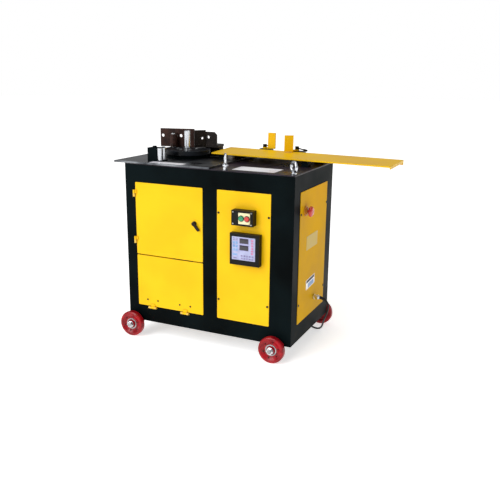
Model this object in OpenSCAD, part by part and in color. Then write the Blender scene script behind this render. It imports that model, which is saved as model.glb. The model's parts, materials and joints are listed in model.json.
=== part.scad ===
/*
Table bender for reinforcing bar. A welded cabinet on four wheels carries a motor and a gearbox
that turn a bending disc on the table. A length-stop rail reaches out over the right-hand side.
Lengths are in millimetres. The origin is on the floor, under the middle of the whole machine.
X runs to the operator's right, Y away from the operator and Z up.
*/

/* [Cabinet] */
// Width of the welded cabinet
cabinet_w = 860; // [840:5:900]
// Depth of the welded cabinet
cabinet_d = 514; // [500:2:540]
// Height of the cabinet from its bottom edge to the deck
cabinet_h = 778; // [770:2:800]
// Thickness of the cabinet's sheet
wall = 5; // [4:0.5:6]
// Width of the black centre column
column_w = 74; // [60:2:80]
// Height of the black band under the panels
plinth_h = 82; // [78:1:90]
// Height of the top edge of the front panels
panel_top = 690; // [680:1:695]
// Height of the gap between the door and the flap
door_split = 339; // [320:1:360]
// Thickness of the yellow panels
panel_t = 2; // [1.5:0.5:2.5]
// How far each panel laps over the edge of its window
panel_lap = 16; // [14:1:18]

/* [Wheels] */
// Diameter of each wheel
wheel_dia = 125; // [120:1:130]
// Width of each wheel
wheel_w = 30; // [26:1:32]
// Height of the wheel axles below the cabinet's bottom edge
axle_drop = 14; // [13.5:0.5:16]

/* [Table] */
// Thickness of the deck plate
deck_t = 5; // [4:1:6]
// Thickness of the steel work plate
plate_t = 8; // [6:1:10]
// How far the work plate overhangs the cabinet's left side
plate_over = 57; // [20:1:60]
// Right-hand end of the work plate
plate_end = 452; // [440:1:460]

/* [Bending unit] */
// Diameter of the bending disc
disc_dia = 230; // [220:2:234]
// Thickness of the bending disc
disc_t = 24; // [20:1:26]
// Height of the disc's top above the deck
disc_rise = 48; // [46:1:52]
// Diameter of the central mandrel pin
mandrel_dia = 30; // [26:1:32]
// Height of the mandrel pin above the disc
mandrel_h = 88; // [80:1:90]
// Largest bar that passes between the mandrel and the roller
bar_dia = 16; // [10:1:16]
// Diameter of the bending roller
roller_dia = 40; // [36:1:40]
// Angle of the bending arm from its home position
arm_angle = 15; // [12:1:20]
// Diameter of the tooling holes in the upright plates
tool_hole_dia = 16; // [12:1:18]

/* [Drive] */
// Gear module
gear_module = 4; // [4:1:4]
// Teeth on the spindle gear
gear_teeth = 64; // [64:1:64]
// Teeth on the pinion
pinion_teeth = 16; // [16:1:16]
// Shortening of each tooth's thickness for backlash
backlash = 0.4; // [0.3:0.05:0.5]

/* [Length rail] */
// Length of the yellow rail
rail_len = 885; // [860:5:900]
// Width of the yellow rail
rail_w = 259; // [240:1:262]
// Thickness of the yellow rail
rail_t = 6; // [5:1:8]
// Fall of the rail towards its outer end, in degrees
rail_fall = 0.6; // [0.4:0.1:0.7]
// Height of each length stop
stop_h = 80; // [70:1:90]

/* [Cord] */
// Diameter of the power cord
cord_dia = 9; // [8:0.5:10]

/* [Hidden] */
$fn = 64;
e = 0.01;
ground = wheel_dia / 2 + axle_drop;
x_mid = (318 + rail_len * cos(rail_fall) - plate_over) / 2;
y_mid = 272.5;
frame_top = cabinet_h - deck_t;
col_x = [416, 416 + column_w];
door_x = [56, 416];
ctrl_x = [490, 752];
side_y = [71, 433];
side_z = [84, 695];
axle_z = -axle_drop;
wheel_x = [[32, 780], [40, 818]];
wheel_gap = 14;
axle_r = 10;
run = 0.05;

spindle = [178, 283];
disc_z = cabinet_h + disc_rise;
disc_r = disc_dia / 2;
roller_at = [-84, mandrel_dia / 2 + bar_dia + roller_dia / 2];
fence_x = [-158, 17];
fence_y = roller_at[1] + roller_dia / 2 - 3;
fence_t = 12;
fence_h = 90;
guide_x = 157;
guide_y = [63, 92];
housing_z = 640;
gear_z = 592;
gear_w = 28;
pinion_at = [spindle[0] + gear_module * (gear_teeth + pinion_teeth) / 2, spindle[1]];
motor_z = 500;
motor_r = 68;

rail_at = [318, 250, cabinet_h + 41];
bar_s = 24;
bar_h = 19;
bar_gap = 8;
rail_slant = 12;
stud_y = bar_gap + bar_s / 2;
stop_x = [172, 347];
stop_z = 3;

control_at = [640, 435];
control_s = 144;
switch_at = [632, 579];
switch_size = [104, 38, 68];
estop_at = [135, 603];
latch_at = [374, 522];
door_hinge_z = [637, 411];
flap_hinge_x = [138, 318];
hinge_y = -8;
knuckle_h = 16;
rim_h = 5.6;
gland_at = [283, 157];
eye_at = [[519, 22], [838, 38]];

black = "#1b1c1e";
yellow = "#f4c91c";
steel = "#a9adb0";
dark_steel = "#3a3634";
red = "#b3121c";

// Route of the free cord from the gland to the coil, in cabinet coordinates
cord_route = [
    [862, 283, 157], [880.9, 283, 157], [899.7, 283.3, 156], [917.4, 285.2, 149.9],
    [930.4, 289.3, 137.1], [936, 294.6, 120.1], [934.4, 300.7, 102.3], [930, 307.6, 85.3],
    [924, 315.7, 69.3], [917, 324.5, 54.1], [909.8, 334.2, 39.6], [902.8, 344.6, 25.4],
    [896.4, 355.6, 11.5], [890.5, 367.1, -2.3], [884.5, 379, -15.7], [877.9, 391.2, -28.8],
    [870.3, 403.7, -41.2], [861.1, 416.1, -52.2], [849.5, 428, -61.4], [835.8, 439.2, -67.9],
    [820.5, 449.7, -71.2], [804.3, 459.4, -72], [787.8, 468.6, -72], [771.4, 477.9, -72],
    [755.4, 488, -72], [740.9, 500.1, -72], [729, 514.7, -72], [720.4, 531.5, -72],
    [714.9, 549.6, -72], [712.2, 568.2, -72], [711.2, 587.1, -72], [711, 606, -72]
];
// Coil of two layers, each of four turns side by side, whose middle line has radius coil_r
coil_at = [643.5, 606, -72];
coil_r = 54;
coil_layers = 2;
coil_turns = 4;
tail_y = coil_at[1] + coil_r + (coil_turns - 1) / 2 * cord_dia;
tail_len = 70;
plug_at = [coil_at[0] - tail_len, tail_y, -49];

// Moves a shape from cabinet coordinates, whose zero is the cabinet's front left bottom corner
module on_cabinet() {
    translate([-x_mid, -y_mid, ground]) children();
}

// Moves a shape to the spindle's axis
module on_spindle(z = 0) {
    on_cabinet() translate([spindle[0], spindle[1], z]) children();
}

// Moves a shape into the rail's own frame: X along the rail, Z square to its top face
module on_rail() {
    on_cabinet() translate(rail_at) rotate([0, rail_fall, 0]) children();
}

// Box between two opposite corners
module box(low, high) {
    translate(low) cube(high - low);
}

// Flat panel in the XZ plane with rounded corners, from y = 0 to y = t
module panel_xz(x, z, t, r = 4) {
    translate([0, t, 0]) rotate([90, 0, 0]) linear_extrude(t) {
        translate([x[0] + r, z[0]]) square([x[1] - x[0] - 2 * r, z[1] - z[0]]);
        translate([x[0], z[0] + r]) square([x[1] - x[0], z[1] - z[0] - 2 * r]);
        for (cx = [x[0] + r, x[1] - r], cz = [z[0] + r, z[1] - r]) translate([cx, cz]) circle(r);
    }
}

// Cylinder along Y that starts at y = 0 and runs towards the back
module rod_y(r, len) {
    rotate([-90, 0, 0]) cylinder(r = r, h = len);
}

// Cylinder along X that starts at x = 0 and runs to the right
module rod_x(r, len) {
    rotate([0, 90, 0]) cylinder(r = r, h = len);
}

// ---------- cabinet ----------

// Window through a wall that lies in the XZ plane
module window(x, z, y = -1) {
    box([x[0] + panel_lap, y, z[0] + panel_lap],
        [x[1] - panel_lap, y + wall + 2, z[1] - panel_lap]);
}

// Flat ring that stiffens the top or the bottom of the cabinet
module lip_ring(z) {
    difference() {
        box([wall - e, wall - e, z], [cabinet_w - wall + e, cabinet_d - wall + e, z + wall]);
        box([45, 45, z - 1], [cabinet_w - 45, cabinet_d - 45, z + wall + 1]);
    }
}

// Pair of lugs that hold one stub axle under the cabinet
module axle_lugs(x) {
    for (y = [12, 36])
        difference() {
            box([x - 20, y, axle_z - 16], [x + 20, y + 8, e]);
            translate([x, y - 1, axle_z]) rod_y(axle_r + run, 10);
        }
}

module frame() {
    color(black) on_cabinet() {
        difference() {
            box([0, 0, 0], [cabinet_w, cabinet_d, frame_top]);
            box([wall, wall, -1], [cabinet_w - wall, cabinet_d - wall, frame_top + 1]);
            for (y = [-1, cabinet_d - wall - 1]) {
                window(door_x, [plinth_h, panel_top], y);
                window(ctrl_x, [plinth_h, panel_top], y);
            }
            box([-1, side_y[0] + panel_lap, side_z[0] + panel_lap],
                [cabinet_w + 1, side_y[1] - panel_lap, side_z[1] - panel_lap]);
            for (z = [side_z[0] + 90, side_z[1] - 100], y = [side_y[0] + 8, side_y[1] - 8])
                translate([-1, y, z]) rod_x(2.6, cabinet_w + 2);
            for (z = [176, 586], x = [ctrl_x[0] + 8, ctrl_x[1] - 8])
                translate([x, -1, z]) rod_y(2.6, cabinet_d + 2);
            for (z = [176, 586], x = [door_x[0] + 8, door_x[1] - 8])
                translate([x, cabinet_d - wall - 1, z]) rod_y(2.6, wall + 2);
        }
        lip_ring(0);
        difference() {
            lip_ring(frame_top - wall);
            for (p = eye_at)
                translate([p[0], p[1], frame_top - wall - 1]) cylinder(r = 6 + run, h = wall + 2);
        }
        for (y = [wall - e, cabinet_d - 29], x = [col_x[0] + 8, col_x[1] - 13])
            box([x, y, wall], [x + 5, y + 24 + e, frame_top - wall]);
        for (x = [520, 680]) box([x, 45 - e, 0], [x + 40, cabinet_d - 45 + e, wall]);
        for (x = wheel_x[0]) axle_lugs(x);
        for (x = wheel_x[1]) translate([0, cabinet_d, 0]) mirror([0, 1, 0]) axle_lugs(x);
    }
}

module deck_plate() {
    color(black) on_cabinet() difference() {
        box([0, 0, frame_top], [cabinet_w, cabinet_d, cabinet_h]);
        translate([spindle[0], spindle[1], frame_top - 1]) cylinder(r = 49, h = deck_t + 2);
        for (p = eye_at) translate([p[0], p[1], frame_top - 1]) cylinder(r = 6 + run, h = deck_t + 2);
    }
}

module work_plate() {
    color(steel) on_cabinet() difference() {
        box([-plate_over, -6, cabinet_h], [plate_end, cabinet_d + 6, cabinet_h + plate_t]);
        translate([spindle[0], spindle[1], cabinet_h - 1]) cylinder(r = 49, h = plate_t + 2);
    }
}

module drive_shelf() {
    color(black) on_cabinet() {
        difference() {
            box([wall, 60, 420], [cabinet_w - wall, cabinet_d - 60, 426]);
            box([60, 100, 419], [240, cabinet_d - 100, 427]);
            box([660, 100, 419], [820, cabinet_d - 100, 427]);
        }
        for (y = [60, cabinet_d - 66]) box([wall, y, 395], [cabinet_w - wall, y + 6, 420 + e]);
    }
}

// ---------- panels, door and flap ----------

// Shallow folded rim that stiffens the back of a door
module rim_xz(x, z) {
    difference() {
        box([x[0] + 19, 0, z[0] + 19], [x[1] - 19, rim_h, z[1] - 19]);
        box([x[0] + 21, -1, z[0] + 21], [x[1] - 21, rim_h + 1, z[1] - 21]);
    }
}

// Round hinge knuckle on a vertical pin, with a tab that reaches the door or the frame
module door_knuckle(z, tab_x, tab_y, bore) {
    difference() {
        union() {
            translate([door_x[0] - 5, hinge_y, z]) cylinder(r = 5.5, h = knuckle_h);
            box([min(tab_x), hinge_y + 1.2, z], [max(tab_x), tab_y, z + knuckle_h]);
        }
        if (bore) translate([door_x[0] - 5, hinge_y, z - 1]) cylinder(r = 3 + run, h = knuckle_h + 2);
    }
}

module door() {
    color(yellow) on_cabinet() difference() {
        union() {
            translate([0, -2.8, 0]) panel_xz(door_x, [door_split + 2.5, panel_top], panel_t);
            translate([0, -0.8 - e, 0]) rim_xz(door_x, [door_split - 16, panel_top]);
            for (z = door_hinge_z) door_knuckle(z + 0.4, [door_x[0] - 5, door_x[0] + 8], -2.8 + e, true);
        }
        translate([latch_at[0], -6, latch_at[1]]) rod_y(7 + run, 12);
        for (z = door_hinge_z)
            translate([door_x[0] - 5, hinge_y, z - 2]) cylinder(r = 3 + run, h = knuckle_h + 4);
    }
}

module door_latch() {
    color(dark_steel) on_cabinet() translate([latch_at[0], 0, latch_at[1]]) {
        translate([0, -9, 0]) rod_y(7, 14);
        translate([0, -7, 0]) rod_y(11, 4);
        translate([0, -17, 0]) rotate([0, 48, 0]) {
            rod_y(9, 10);
            box([0, 0, -6], [36, 8, 6]);
            translate([36, 0, 0]) rod_y(6, 8);
        }
        translate([0, 5 - e, 0]) {
            rod_y(9, 4);
            box([-8, 0.6, 0], [8, 3.6, 38]);
        }
    }
}

// Hinge knuckle on a horizontal pin along X
module flap_knuckle(x, len, up, tab_y) {
    translate([x, hinge_y, plinth_h - 6]) rod_x(5.5, len);
    z = up ? [plinth_h - 6, plinth_h + 12] : [plinth_h - 11, plinth_h - 4];
    box([x, hinge_y + 1.2, z[0]], [x + len, tab_y, z[1]]);
}

module lower_flap() {
    color(yellow) on_cabinet() difference() {
        union() {
            translate([0, -2.8, 0]) panel_xz(door_x, [plinth_h, door_split - 2.5], panel_t);
            translate([0, -0.8 - e, 0]) rim_xz(door_x, [plinth_h, door_split + 12]);
            for (x = flap_hinge_x) flap_knuckle(x - 11, 22, true, -2.8 + e);
            for (x = flap_hinge_x, s = [-29, 29]) translate([x + s, -4.3, plinth_h + 32]) rod_y(4, 2);
        }
        for (x = flap_hinge_x) translate([x - 24, hinge_y, plinth_h - 6]) rod_x(3 + run, 48);
    }
}

module hinge_leaves() {
    color(yellow) on_cabinet() {
        for (z = door_hinge_z) {
            door_knuckle(z - knuckle_h, [door_x[0] - 10, door_x[0] - 3], 0, false);
            translate([door_x[0] - 5, hinge_y, z - e]) cylinder(r = 3, h = knuckle_h - 2);
        }
        for (x = flap_hinge_x) {
            for (s = [-21.4, 11.4]) flap_knuckle(x + s, 10, false, 0);
            translate([x - 21, hinge_y, plinth_h - 6]) rod_x(3, 42);
        }
    }
}

module control_panel() {
    color(yellow) on_cabinet() difference() {
        translate([0, -panel_t, 0]) panel_xz(ctrl_x, [plinth_h, panel_top], panel_t);
        box([control_at[0] - 69, -5, control_at[1] - 69], [control_at[0] + 69, 5, control_at[1] + 69]);
        translate([switch_at[0], -5, switch_at[1]]) rod_y(12, 10);
        for (x = [ctrl_x[0] + 8, ctrl_x[1] - 8], z = [176, 586]) translate([x, -5, z]) rod_y(2.6, 10);
    }
}

// Yellow sheet over one rear window, with louvre slots
module rear_panel(x) {
    difference() {
        translate([0, cabinet_d, 0]) panel_xz(x, [plinth_h, panel_top], panel_t);
        for (i = [0 : 7])
            box([(x[0] + x[1]) / 2 - 70, cabinet_d - 1, 440 + i * 20],
                [(x[0] + x[1]) / 2 + 70, cabinet_d + 5, 446 + i * 20]);
        for (px = [x[0] + 8, x[1] - 8], z = [176, 586]) translate([px, cabinet_d - 1, z]) rod_y(2.6, 6);
    }
}

module rear_panels() {
    color(yellow) on_cabinet() {
        rear_panel(door_x);
        rear_panel(ctrl_x);
    }
}

// Yellow sheet over a side window, lying from x = 0 to x = panel_t
module side_panel() {
    difference() {
        translate([panel_t, 0, 0]) rotate([0, 0, 90]) panel_xz(side_y, side_z, panel_t);
        for (z = [side_z[0] + 90, side_z[1] - 100], y = [side_y[0] + 8, side_y[1] - 8])
            translate([-1, y, z]) rod_x(2.6, 5);
    }
}

module side_panel_left() {
    color(yellow) on_cabinet() translate([-panel_t, 0, 0]) side_panel();
}

module side_panel_right() {
    color(yellow) on_cabinet() difference() {
        translate([cabinet_w, 0, 0]) side_panel();
        translate([cabinet_w - 1, estop_at[0], estop_at[1]]) rod_x(9, 5);
        translate([cabinet_w - 1, gland_at[0], gland_at[1]]) rod_x(10 + run, 5);
    }
}

// Pan-head screw that points along +Y, with its head's underside at y = 0
module panel_screw() {
    translate([0, -2.6, 0]) difference() {
        rod_y(5, 2.6);
        box([-4, -1, -0.6], [4, 1, 0.6]);
    }
    translate([0, -1, 0]) rod_y(2.4, 10);
}

module panel_screws() {
    color(dark_steel) on_cabinet() {
        for (x = [ctrl_x[0] + 8, ctrl_x[1] - 8], z = [176, 586])
            translate([x, -panel_t, z]) panel_screw();
        for (x = [door_x[0] + 8, door_x[1] - 8, ctrl_x[0] + 8, ctrl_x[1] - 8], z = [176, 586])
            translate([x, cabinet_d + panel_t, z]) rotate([0, 0, 180]) panel_screw();
        for (z = [side_z[0] + 90, side_z[1] - 100], y = [side_y[0] + 8, side_y[1] - 8]) {
            translate([cabinet_w + panel_t, y, z]) rotate([0, 0, 90]) panel_screw();
            translate([-panel_t, y, z]) rotate([0, 0, -90]) panel_screw();
        }
    }
}

// ---------- controls ----------

module switch_box() {
    s = switch_size;
    color(black) on_cabinet() translate([switch_at[0], -panel_t, switch_at[1]]) difference() {
        box([-s[0] / 2, -s[1], -s[2] / 2], [s[0] / 2, 0, s[2] / 2]);
        box([-s[0] / 2 + 3, -s[1] + 3, -s[2] / 2 + 3], [s[0] / 2 - 3, -3, s[2] / 2 - 3]);
        for (x = [-3, 25]) translate([x, -s[1] - 1, 0]) rod_y(11.5, 6);
        translate([0, -4, 0]) rod_y(11, 5);
    }
}

module switch_plate() {
    color("#f5dc7a") on_cabinet()
        translate([switch_at[0] + 11, -panel_t - switch_size[1] - 2, switch_at[1]]) difference() {
            box([-28, 0, -25], [28, 2, 25]);
            for (x = [-14, 14]) translate([x, -1, 0]) rod_y(11.5, 4);
        }
}

// Push button whose cap stands 5 mm out of the plate
module push_button(x, shade) {
    color(shade) on_cabinet()
        translate([switch_at[0] + x, -panel_t - switch_size[1] - 7, switch_at[1]]) {
            rod_y(11, 14);
            translate([0, 14 - e, 0]) rod_y(5, 14);
        }
}

module start_button() {
    push_button(-3, "#1d8a4a");
}

module stop_button() {
    push_button(25, "#cf2a20");
}

module control_unit() {
    h = control_s / 2;
    color(black) on_cabinet() translate([control_at[0], 0, control_at[1]]) {
        difference() {
            box([-h, -30, -h], [h, -panel_t, h]);
            box([-62, -31, -49], [53, -29, 58]);
        }
        box([-68, -panel_t - e, -68], [68, 56, 68]);
    }
}

// One membrane key or a dark window, proud of the membrane by its height
module key_pad(x, z, w, h, rise) {
    box([x - w / 2, -30 - rise, z - h / 2], [x + w / 2, -29.4, z + h / 2]);
}

module keypad() {
    color("#cfc8dc") on_cabinet() translate([control_at[0], 0, control_at[1]]) {
        box([-61.6, -29.8, -48.6], [52.6, -29, 57.6]);
        for (z = [40, 9]) key_pad(-2, z, 42, 22, 0.4);
        for (x = [-12, 1, 14, 27, 40], z = [-28, -40]) key_pad(x, z, 9, 7, 0.2);
        for (x = [-51, -38], z = [-2, 14, 30]) key_pad(x, z, 10, 12, 0.2);
        for (z = [46, 34, 22, 10, -2, -14]) key_pad(38, z, 11, 8, 0.2);
        key_pad(-46, -24, 24, 8, 0.2);
    }
}

module estop_collar() {
    color("#d9b51c") on_cabinet()
        translate([cabinet_w + panel_t, estop_at[0], estop_at[1]]) difference() {
            union() {
                rod_x(22, 6);
                translate([6 - e, 0, 0]) rod_x(16, 6);
                translate([-10, 0, 0]) rod_x(8.8, 10 + e);
            }
            translate([-11, 0, 0]) rod_x(6 + run, 30);
        }
}

module estop_button() {
    color(red) on_cabinet()
        translate([cabinet_w + panel_t, estop_at[0], estop_at[1]]) rotate([0, 90, 0]) rotate_extrude()
            polygon([[0, -6], [6, -6], [6, 20], [20, 20], [23, 22],
                     [24, 26], [23, 30], [18, 34], [9, 36], [0, 36]]);
}

// Blank riveted plate that lies from z = 0 to z = t
module blank_plate(w, d, t = 0.8) {
    translate([-w / 2, -d / 2, 0]) cube([w, d, t]);
    for (x = [-1, 1], y = [-1, 1])
        translate([x * (w / 2 - 5), y * (d / 2 - 5), t - e]) cylinder(r = 1.6, h = 0.8, $fn = 24);
}

module blank_plates() {
    color("white") on_cabinet() {
        translate([220, 24, cabinet_h + plate_t]) blank_plate(176, 44);
        translate([646, 90, cabinet_h]) blank_plate(206, 106);
        translate([cabinet_w + panel_t, 236, 446]) rotate([90, 0, 90]) blank_plate(150, 66);
        translate([cabinet_w + panel_t, 232, 246]) rotate([90, 0, 90]) rotate(4) blank_plate(118, 46);
    }
}

// ---------- electrical gear behind the control panel ----------

module electrical_gear() {
    color("#8d9296") on_cabinet() {
        box([520, 150, wall], [720, 152.5, 400]);
        box([520, 118, wall], [720, 150 + e, wall + 3]);
        for (x = [536, 592]) box([x, 80, 300], [x + 45, 150 + e, 378]);
        box([652, 88, 300], [702, 150 + e, 372]);
        box([540, 70, 170], [620, 150 + e, 250]);
        box([640, 76, 170], [704, 150 + e, 256]);
        box([532, 120, 90], [708, 150 + e, 130]);
    }
}

// ---------- drive ----------

// Half of a tooth's angle at radius r, for an involute flank with 20 degrees at the pitch circle
function involute(a) = tan(a) * 180 / PI - a;
function half_tooth(teeth, r) = let(rp = gear_module * teeth / 2, rb = rp * cos(20))
    90 / teeth - backlash / 2 / rp * 180 / PI + involute(20) - involute(acos(min(1, rb / r)));
function polar(r, a) = [r * cos(a), r * sin(a)];

module gear_outline(teeth) {
    rp = gear_module * teeth / 2;
    root = rp - 1.25 * gear_module;
    low = max(rp * cos(20), root);
    tip = rp + 0.95 * gear_module;
    flank = [for (i = [0 : 3]) low + (tip - low) * i / 3];
    polygon([for (k = [0 : teeth - 1]) each concat(
        [polar(root, k * 360 / teeth - half_tooth(teeth, low) - 0.3)],
        [for (i = [0 : 3]) polar(flank[i], k * 360 / teeth - half_tooth(teeth, flank[i]))],
        [for (i = [3 : -1 : 0]) polar(flank[i], k * 360 / teeth + half_tooth(teeth, flank[i]))],
        [polar(root, k * 360 / teeth + half_tooth(teeth, low) + 0.3)])]);
}

module drive_gear() {
    color(steel) on_spindle(gear_z) difference() {
        union() {
            linear_extrude(gear_w) gear_outline(gear_teeth);
            translate([0, 0, gear_w - e]) cylinder(r = 38, h = 8);
        }
        translate([0, 0, -1]) cylinder(r = 20 + run, h = gear_w + 12);
        for (a = [0 : 60 : 300]) rotate(a) translate([78, 0, -1]) cylinder(r = 20, h = gear_w + 2);
    }
}

module pinion() {
    color(steel) on_cabinet() translate([pinion_at[0], pinion_at[1], 0]) {
        translate([0, 0, gear_z - 2]) linear_extrude(gear_w + 4) rotate(180 / pinion_teeth)
            gear_outline(pinion_teeth);
        translate([0, 0, 545]) cylinder(r = 12, h = gear_z - 545);
    }
}

module gearbox() {
    color("#4d6a86") on_cabinet() difference() {
        union() {
            box([282, 200, 426], [394, 366, 440]);
            box([288, 223, 440 - e], [388, 343, 568]);
            translate([pinion_at[0], pinion_at[1], 568 - e]) cylinder(r = 30, h = 14);
            for (y = [216, 342]) box([300, y, 439], [376, y + 8, 560]);
            translate([387, 283, motor_z]) rod_x(56, 9);
        }
        translate([pinion_at[0], pinion_at[1], 543]) cylinder(r = 12 + run, h = 60);
    }
}

module motor() {
    color("#4d6a86") on_cabinet() translate([396, 283, motor_z]) {
        rod_x(60, 200);
        rod_x(motor_r, 10);
        translate([190, 0, 0]) rod_x(motor_r, 10);
        for (a = [0 : 15 : 345])
            rotate([a, 0, 0]) box([10 - e, -1.6, 58], [190 + e, 1.6, motor_r - 1]);
        box([60, -42, 58], [150, 42, 104]);
        for (y = [-50, 50]) box([30, y - 14, -74], [180, y + 14, -34]);
    }
}

module motor_cowl() {
    color("#4d6a86") on_cabinet() translate([596, 283, motor_z]) difference() {
        rod_x(motor_r, 46);
        translate([-1, 0, 0]) rod_x(motor_r - 2, 44);
        for (a = [0 : 30 : 330], r = [26, 48])
            rotate([a, 0, 0]) translate([40, 0, r]) rod_x(5, 10);
    }
}

module spindle_housing() {
    color("#5a5f63") on_spindle() difference() {
        union() {
            translate([0, 0, housing_z]) cylinder(r = 52, h = frame_top - housing_z);
            translate([0, 0, frame_top - 14]) cylinder(r = 86, h = 14);
            translate([0, 0, frame_top - e]) cylinder(r = 48, h = 22);
            translate([0, 0, cabinet_h + plate_t]) cylinder(r = 104, h = 14);
        }
        translate([0, 0, frame_top + 22]) cylinder(r = 62, h = 30);
        translate([0, 0, housing_z - 1]) cylinder(r = 34, h = 200);
        translate([0, 0, housing_z - 1]) cylinder(r = 40 + run, h = 19);
        translate([0, 0, frame_top + 22 - 18]) cylinder(r = 40 + run, h = 19);
        for (a = [45 : 90 : 315])
            rotate(a) translate([70, 0, frame_top - 15]) cylinder(r = 5.5, h = 16);
    }
}

module spindle_bearings() {
    color(steel) on_spindle() for (z = [housing_z + 2, frame_top + 5])
        translate([0, 0, z]) difference() {
            cylinder(r = 40, h = 16);
            translate([0, 0, -1]) cylinder(r = 25 + run, h = 18);
        }
}

module spindle() {
    flange_z = disc_z - disc_t - 5;
    color(steel) on_spindle() difference() {
        union() {
            translate([0, 0, gear_z - 14]) cylinder(r = 20, h = 60);
            translate([0, 0, gear_z - 10]) cylinder(r = 30, h = 9.7);
            translate([0, 0, gear_z + gear_w + 8.3])
                cylinder(r = 25, h = flange_z - gear_z - gear_w - 8);
            translate([0, 0, flange_z]) cylinder(r = 60, h = 5);
        }
        for (a = [0 : 60 : 300])
            rotate(a + arm_angle) translate([48, 0, flange_z - 1]) cylinder(r = 5 + run, h = 8);
    }
}

// ---------- bending tools ----------

module bending_disc() {
    color(black) on_spindle(disc_z - disc_t) difference() {
        rotate_extrude() polygon([[0, 0], [disc_r - 1.5, 0], [disc_r, 1.5], [disc_r, disc_t - 1.5],
                                  [disc_r - 1.5, disc_t], [0, disc_t]]);
        translate([0, 0, 4]) cylinder(r = mandrel_dia / 2 + run, h = disc_t);
        rotate(arm_angle) {
            for (a = [0 : 60 : 300]) rotate(a) translate([48, 0, -1]) {
                cylinder(r = 5 + run, h = disc_t + 2);
                translate([0, 0, disc_t - 5]) cylinder(r = 9, h = 8);
            }
            translate([roller_at[0], roller_at[1], 4]) cylinder(r = 9 + run, h = disc_t);
        }
    }
}

module disc_screws() {
    color(steel) on_spindle() rotate(arm_angle) for (a = [0 : 60 : 300])
        rotate(a) translate([48, 0, disc_z - 6]) difference() {
            union() {
                cylinder(r = 8.5, h = 8);
                translate([0, 0, 1 - disc_t]) cylinder(r = 5, h = disc_t);
            }
            translate([0, 0, 3]) cylinder(r = 4.6, h = 6, $fn = 6);
        }
}

module mandrel_pin() {
    r = mandrel_dia / 2;
    color("#d8dadc") on_spindle(disc_z) rotate_extrude() polygon([
        [0, 4 - disc_t], [r, 4 - disc_t], [r, 0], [r + 4, 0], [r + 4, 4], [r, 4],
        [r, mandrel_h - 2], [r - 2, mandrel_h], [0, mandrel_h]]);
}

// Upright plate along X with drilled tooling holes, front face at y = 0
module tool_plate(x, h, holes, hole_z) {
    difference() {
        box([x[0], 0, 0], [x[1], fence_t, h]);
        for (hx = holes) translate([hx, -1, hole_z]) rod_y(tool_hole_dia / 2, fence_t + 2);
    }
}

module bending_arm() {
    color("#4a2a22") on_spindle(disc_z) rotate(arm_angle) translate([0, fence_y, 0]) {
        difference() {
            tool_plate(fence_x, fence_h, [-146, -52], 55);
            translate([roller_at[0], roller_at[1] - fence_y, -1])
                cylinder(r = roller_dia / 2 + 0.4, h = 68);
        }
        difference() {
            box([-60, fence_t - e, 0], [10, fence_t + 14, 10]);
            for (x = [-48, -2]) translate([x, fence_t + 7, -1]) cylinder(r = 3, h = 12);
        }
        box([-30, fence_t - e, 10 - e], [-22, fence_t + 12, 60]);
    }
}

module bending_roller() {
    color("#5b3327") on_spindle(disc_z + 2) rotate(arm_angle) translate([roller_at[0], roller_at[1], 0])
        difference() {
            rotate_extrude() polygon([[0, 0], [roller_dia / 2 - 1, 0], [roller_dia / 2 - 0.4, 1],
                [roller_dia / 2 - 0.4, 61], [roller_dia / 2 - 1, 62], [0, 62]]);
            translate([0, 0, -1]) cylinder(r = 9 + run, h = 64);
        }
}

module roller_pin() {
    color(steel) on_spindle(disc_z) rotate(arm_angle) translate([roller_at[0], roller_at[1], 0]) {
        translate([0, 0, 4 - disc_t]) cylinder(r = 9, h = disc_t + 62);
        cylinder(r = 14, h = 1.6);
        translate([0, 0, 64.4]) cylinder(r = 13, h = 5);
    }
}

// Fixed bracket that backs the bar: a slanting wall, a straight wall, an arm and a rear foot
module resist_bracket() {
    floor_z = disc_z + 3;
    a = [200, 320];
    b = [240, 360];
    end = 298;
    color(dark_steel) on_cabinet() difference() {
        union() {
            translate([0, 0, floor_z]) linear_extrude(84) polygon([a, b, b + [-8, 8], a + [-8, 8]]);
            translate([0, 0, floor_z]) difference() {
                box([b[0] - 6, b[1] + 2, 0], [end, b[1] + 13, 76]);
                translate([end, b[1], 76]) rotate([0, 45, 0]) cube([20, 40, 20], center = true);
            }
            translate([0, 0, floor_z]) linear_extrude(12)
                polygon([a + [-6, 6], b, [end, b[1] + 2], [end, 446], [212, 446], [212, 352]]);
            box([end - e, b[1] + 2, floor_z], [end + 8, b[1] + 46, floor_z + 10]);
            box([214, 405, cabinet_h + plate_t], [end - 4, 446, floor_z + 1]);
            box([204, 405, cabinet_h + plate_t], [end + 6, 484, cabinet_h + plate_t + 12]);
            for (x = [222, 286])
                translate([x, 466, cabinet_h + plate_t + 12 - e]) cylinder(r = 10, h = 8, $fn = 6);
        }
        translate([b[0] + 12, b[1] - 4, floor_z + 50]) rod_y(tool_hole_dia / 2, 24);
        translate([(a[0] + b[0]) / 2 + 8, (a[1] + b[1]) / 2 + 8, floor_z + 44]) rotate([0, 0, 45])
            translate([0, -12, 0]) rod_y(6, 30);
    }
}

module guide_block() {
    top = cabinet_h + plate_t;
    color(black) on_cabinet() {
        box([92, 55, top], [142, 102, top + 62]);
        translate([117, 80, top + 62 - e]) cylinder(r = 11, h = 7, $fn = 6);
        box([142 - e, 47, top], [173, 108, top + 5]);
    }
    color(steel) on_cabinet() for (y = guide_y) translate([guide_x, y, top]) {
        cylinder(r = 6, h = 66);
        translate([0, 0, 62.5]) cylinder(r = 9, h = 3);
    }
}

module guide_roller(y) {
    color("#d8dadc") on_cabinet() translate([guide_x, y, cabinet_h + plate_t + 5.5]) difference() {
        cylinder(r = 13, h = 56.5);
        translate([0, 0, -1]) cylinder(r = 6 + run, h = 60);
    }
}

module guide_roller_front() {
    guide_roller(guide_y[0]);
}

module guide_roller_rear() {
    guide_roller(guide_y[1]);
}

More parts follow.
